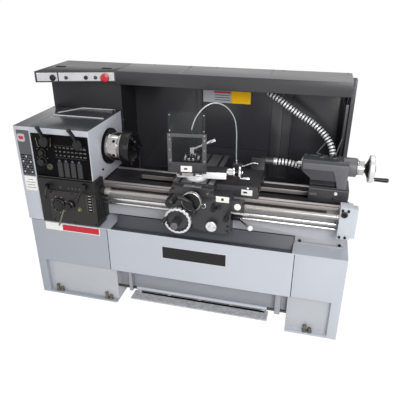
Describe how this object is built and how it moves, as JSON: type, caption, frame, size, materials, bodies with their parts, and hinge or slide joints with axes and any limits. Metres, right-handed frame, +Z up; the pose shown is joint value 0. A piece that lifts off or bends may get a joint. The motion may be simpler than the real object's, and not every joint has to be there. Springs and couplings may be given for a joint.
{
  "type": "engine lathe",
  "caption": "Gap-bed engine lathe on a fabricated stand, with chuck, carriage, compound, tailstock, splash guard with hood, electrical cabinet and foot brake.",
  "frame": {"origin": "on the floor under the spindle axis, at the middle of the machine's length", "axes": "+X along the bed towards the tailstock, +Z up, operator on the -Y side"},
  "size_m": [2.011, 0.863, 1.363],
  "materials": {
    "light_paint": "satin",
    "grey_paint": "satin",
    "dark_paint": "satin",
    "black_plate": "satin",
    "black_plastic": "satin",
    "red_plastic": "gloss",
    "white_plate": "satin",
    "ground_steel": "ground",
    "chrome": "polished",
    "black_oxide": "satin",
    "cast_paint": "painted casting",
    "belt_rubber": "matte",
    "shield_frame": "satin"
  },
  "bodies": {
    "frame": {"left_pedestal": "light_paint", "right_pedestal": "light_paint", "front_panel": "light_paint", "chip_tray": "light_paint", "bolts": "black_oxide", "bed": "light_paint", "headstock_case": "light_paint", "headstock_lid": "dark_paint", "end_cover": "light_paint", "control_plate": "black_plate", "gearbox_case": "dark_paint", "gearbox_cover": "dark_paint", "end_bracket": "light_paint", "motor": "grey_paint", "drive_belt": "belt_rubber", "electrical_cabinet": "dark_paint", "control_box": "dark_paint", "hood": "dark_paint", "back_wall": "dark_paint", "conduit": "chrome"},
    "spindle": {"spindle": "ground_steel", "chuck": "black_oxide", "chuck_jaws": "ground_steel"},
    "speed_lever_left": {"speed_lever_left": "black_oxide"},
    "speed_lever_right": {"speed_lever_right": "black_oxide"},
    "upper_knob": {"upper_knob": "black_plastic"},
    "lower_knob": {"lower_knob": "black_plastic"},
    "gearbox_lever": {"gearbox_lever": "black_oxide"},
    "gearbox_dial": {"gearbox_dial": "black_plastic"},
    "gearbox_handle": {"gearbox_handle": "ground_steel"},
    "range_lever": {"range_lever": "black_oxide"},
    "leadscrew": {"leadscrew": "ground_steel"},
    "feed_rod": {"feed_rod": "ground_steel"},
    "control_rod": {"control_rod": "black_oxide"},
    "foot_brake": {"foot_brake": "light_paint"},
    "apron_wheel": {"apron_wheel": "chrome"},
    "feed_lever": {"feed_lever": "black_oxide"},
    "half_nut_lever": {"half_nut_lever": "black_oxide"},
    "push_pull_knob": {"push_pull_knob": "chrome"},
    "thread_dial": {"thread_dial": "white_plate"},
    "control_lever": {"control_lever": "black_oxide"},
    "cross_slide": {"cross_slide": "cast_paint"},
    "cross_crank": {"cross_crank": "chrome"},
    "swivel_base": {"swivel_base": "ground_steel"},
    "top_slide": {"top_slide": "ground_steel"},
    "top_slide_wheel": {"top_slide_wheel": "chrome"},
    "tool_post": {"tool_post": "black_oxide"},
    "clamp_lever": {"clamp_lever": "chrome"},
    "chip_shield": {"chip_shield": "shield_frame"},
    "quill": {"quill": "ground_steel"},
    "tailstock_wheel": {"tailstock_wheel": "chrome"},
    "quill_lock": {"quill_lock": "black_oxide"},
    "base_lock": {"base_lock": "black_oxide"},
    "main_switch": {"main_switch": "black_plastic"},
    "selector_switch": {"selector_switch": "black_plastic"},
    "stop_button": {"stop_button": "red_plastic"},
    "tailstock": {"tailstock": "grey_paint"},
    "carriage": {"saddle": "cast_paint", "apron": "cast_paint", "coolant_spout": "black_plastic"}
  },
  "joints": [
    {"name": "spindle_turn", "type": "hinge", "parent": "frame", "child": "spindle", "pos_m": [0, 0, 0.961], "axis": [1, 0, 0], "continuous": true},
    {"name": "speed_lever_left_turn", "type": "hinge", "parent": "frame", "child": "speed_lever_left", "pos_m": [-0.808, -0.238, 1.046], "axis": [0, 1, 0], "range_deg": [-40, 30]},
    {"name": "speed_lever_right_turn", "type": "hinge", "parent": "frame", "child": "speed_lever_right", "pos_m": [-0.606, -0.238, 1.043], "axis": [0, 1, 0], "range_deg": [-25, 40]},
    {"name": "upper_knob_turn", "type": "hinge", "parent": "frame", "child": "upper_knob", "pos_m": [-0.837, -0.238, 0.979], "axis": [0, 1, 0], "range_deg": [-60, 60]},
    {"name": "lower_knob_turn", "type": "hinge", "parent": "frame", "child": "lower_knob", "pos_m": [-0.843, -0.238, 0.926], "axis": [0, 1, 0], "range_deg": [-60, 60]},
    {"name": "gearbox_lever_turn", "type": "hinge", "parent": "frame", "child": "gearbox_lever", "pos_m": [-0.831, -0.248, 0.778], "axis": [0, 1, 0], "range_deg": [-30, 30]},
    {"name": "gearbox_dial_turn", "type": "hinge", "parent": "frame", "child": "gearbox_dial", "pos_m": [-0.77, -0.254, 0.67], "axis": [0, 1, 0], "range_deg": [-160, 160]},
    {"name": "gearbox_handle_turn", "type": "hinge", "parent": "frame", "child": "gearbox_handle", "pos_m": [-0.695, -0.254, 0.68], "axis": [0, 1, 0], "range_deg": [-35, 60]},
    {"name": "range_lever_turn", "type": "hinge", "parent": "frame", "child": "range_lever", "pos_m": [-0.597, -0.248, 0.802], "axis": [0, 1, 0], "range_deg": [-50, 25]},
    {"name": "leadscrew_turn", "type": "hinge", "parent": "frame", "child": "leadscrew", "pos_m": [0, -0.165, 0.745], "axis": [1, 0, 0], "continuous": true},
    {"name": "feed_rod_turn", "type": "hinge", "parent": "frame", "child": "feed_rod", "pos_m": [0, -0.165, 0.703], "axis": [1, 0, 0], "continuous": true},
    {"name": "control_rod_turn", "type": "hinge", "parent": "frame", "child": "control_rod", "pos_m": [0, -0.165, 0.675], "axis": [1, 0, 0], "range_deg": [-14, 14]},
    {"name": "foot_brake_press", "type": "hinge", "parent": "frame", "child": "foot_brake", "pos_m": [0, -0.18, 0.105], "axis": [1, 0, 0], "range_deg": [0, 12], "stiffness_Nm_per_rad": 120, "springref_deg": -34.38},
    {"name": "carriage_travel", "type": "slide", "parent": "frame", "child": "carriage", "axis": [1, 0, 0], "range_m": [-0.24, 0.08], "deforming": ["conduit"]},
    {"name": "apron_wheel_turn", "type": "hinge", "parent": "carriage", "child": "apron_wheel", "pos_m": [-0.045, -0.215, 0.681], "axis": [0, 1, 0], "range_deg": [-4330, 1450]},
    {"name": "feed_lever_turn", "type": "hinge", "parent": "carriage", "child": "feed_lever", "pos_m": [0.135, -0.215, 0.738], "axis": [0, 1, 0], "range_deg": [-30, 30]},
    {"name": "half_nut_turn", "type": "hinge", "parent": "carriage", "child": "half_nut_lever", "pos_m": [0.205, -0.215, 0.688], "axis": [0, 1, 0], "range_deg": [-20, 30]},
    {"name": "push_pull", "type": "slide", "parent": "carriage", "child": "push_pull_knob", "axis": [0, 1, 0], "range_m": [0, 0.012]},
    {"name": "thread_dial_turn", "type": "hinge", "parent": "carriage", "child": "thread_dial", "pos_m": [0.265, -0.225, 0.77], "axis": [0, 1, 0], "range_deg": [-700, 240]},
    {"name": "control_lever_turn", "type": "hinge", "parent": "carriage", "child": "control_lever", "pos_m": [0, -0.165, 0.675], "axis": [1, 0, 0], "range_deg": [-14, 14]},
    {"name": "cross_travel", "type": "slide", "parent": "carriage", "child": "cross_slide", "axis": [0, 1, 0], "range_m": [-0.055, 0.05]},
    {"name": "cross_crank_turn", "type": "hinge", "parent": "carriage", "child": "cross_crank", "pos_m": [0.036, -0.215, 0.811], "axis": [0, 1, 0], "range_deg": [-3970, 3610]},
    {"name": "compound_swivel", "type": "hinge", "parent": "cross_slide", "child": "swivel_base", "pos_m": [0.016, -0.115, 0], "axis": [0, 0, 1], "range_deg": [-30, 15]},
    {"name": "top_slide_travel", "type": "slide", "parent": "swivel_base", "child": "top_slide", "axis": [0.9925, 0.1219, 0], "range_m": [-0.04, 0.04]},
    {"name": "top_slide_wheel_turn", "type": "hinge", "parent": "top_slide", "child": "top_slide_wheel", "pos_m": [0.016, -0.115, 0.9059], "axis": [0.9925, 0.1219, 0], "range_deg": [-3700, 3700]},
    {"name": "tool_post_turn", "type": "hinge", "parent": "top_slide", "child": "tool_post", "pos_m": [-0.00981, -0.11817, 0], "axis": [0, 0, 1], "range_deg": [-90, 90]},
    {"name": "clamp_lever_turn", "type": "hinge", "parent": "top_slide", "child": "clamp_lever", "pos_m": [-0.00981, -0.11817, 0], "axis": [0, 0, 1], "range_deg": [-20, 45]},
    {"name": "shield_swing", "type": "hinge", "parent": "top_slide", "child": "chip_shield", "pos_m": [0.02502, -0.18845, 0.9089], "axis": [0.9925, 0.1219, 0], "range_deg": [0, 70]},
    {"name": "tailstock_travel", "type": "slide", "parent": "frame", "child": "tailstock", "axis": [1, 0, 0], "range_m": [-0.1, 0]},
    {"name": "quill_travel", "type": "slide", "parent": "tailstock", "child": "quill", "axis": [-1, 0, 0], "range_m": [0, 0.1]},
    {"name": "tailstock_wheel_turn", "type": "hinge", "parent": "tailstock", "child": "tailstock_wheel", "pos_m": [0, 0, 0.961], "axis": [1, 0, 0], "range_deg": [0, 7300]},
    {"name": "quill_lock_turn", "type": "hinge", "parent": "tailstock", "child": "quill_lock", "pos_m": [0.664, 0.01, 0], "axis": [0, 0, 1], "range_deg": [-50, 40]},
    {"name": "base_lock_turn", "type": "hinge", "parent": "tailstock", "child": "base_lock", "pos_m": [0.731, 0.01, 0], "axis": [0, 0, 1], "range_deg": [-50, 50]},
    {"name": "main_switch_turn", "type": "hinge", "parent": "frame", "child": "main_switch", "pos_m": [-0.90279, 0.07181, 1.323], "axis": [-0.2674, 0.9636, 0], "range_deg": [0, 90]},
    {"name": "selector_turn", "type": "hinge", "parent": "frame", "child": "selector_switch", "pos_m": [-0.71682, 0.12343, 1.323], "axis": [-0.2674, 0.9636, 0], "range_deg": [-45, 45]},
    {"name": "stop_press", "type": "slide", "parent": "frame", "child": "stop_button", "axis": [-0.2674, 0.9636, 0], "range_m": [0, 0.006], "stiffness_N_per_m": 2000, "springref_m": -0.005}
  ],
  "couplings": [
    {"joint": "apron_wheel_turn", "follows": "carriage_travel", "rad_per_m": 314.16},
    {"joint": "thread_dial_turn", "follows": "carriage_travel", "rad_per_m": 49.087},
    {"joint": "control_lever_turn", "follows": "control_rod_turn", "ratio": 1},
    {"joint": "cross_crank_turn", "follows": "cross_travel", "rad_per_m": 1256.6},
    {"joint": "top_slide_wheel_turn", "follows": "top_slide_travel", "rad_per_m": 1570.8},
    {"joint": "tailstock_wheel_turn", "follows": "quill_travel", "rad_per_m": 1256.6}
  ]
}
